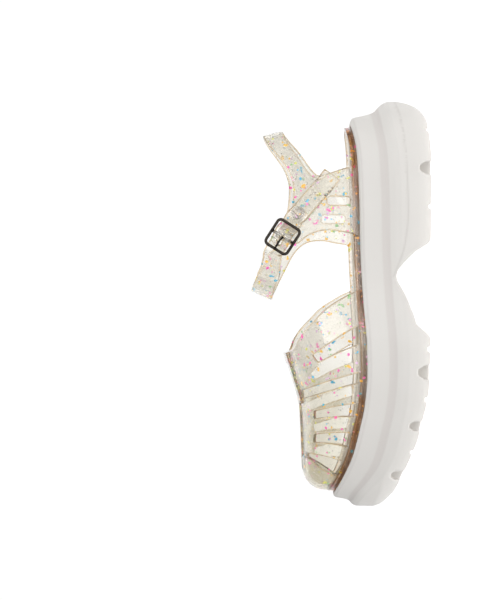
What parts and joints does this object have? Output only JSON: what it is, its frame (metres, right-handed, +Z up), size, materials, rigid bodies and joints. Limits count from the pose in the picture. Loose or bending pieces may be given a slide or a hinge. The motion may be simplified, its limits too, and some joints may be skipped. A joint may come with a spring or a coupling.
{
  "type": "jelly sandal",
  "caption": "Clear glitter jelly fisherman sandal for the left foot, with closed bar vamp, heel strap, buckled instep strap and a chunky off-white platform sole",
  "frame": {"origin": "centre of the bounding box in plan, at floor level under the sole", "axes": "+X to the toe, +Y to the lateral (outer) side of the left foot, +Z up"},
  "size_m": [0.268, 0.1082, 0.1163],
  "materials": {
    "platform_foam": "smooth matt moulded foam, warm off-white",
    "clear_jelly": "clear glossy soft plastic with coloured glitter flakes moulded in",
    "insole_pad": "thin matt pad, pinkish beige grey, bare of print",
    "buckle_metal": "polished dark nickel plate",
    "clear_stud": "clear polished stud"
  },
  "bodies": {
    "root": {"sole": "platform_foam", "upper": "clear_jelly", "heel_pad": "insole_pad", "forefoot_pad": "insole_pad", "buckle_frame": "buckle_metal", "buckle_prong": "buckle_metal", "buckle_tab": "clear_jelly", "rivet_stud": "clear_stud"}
  },
  "joints": []
}
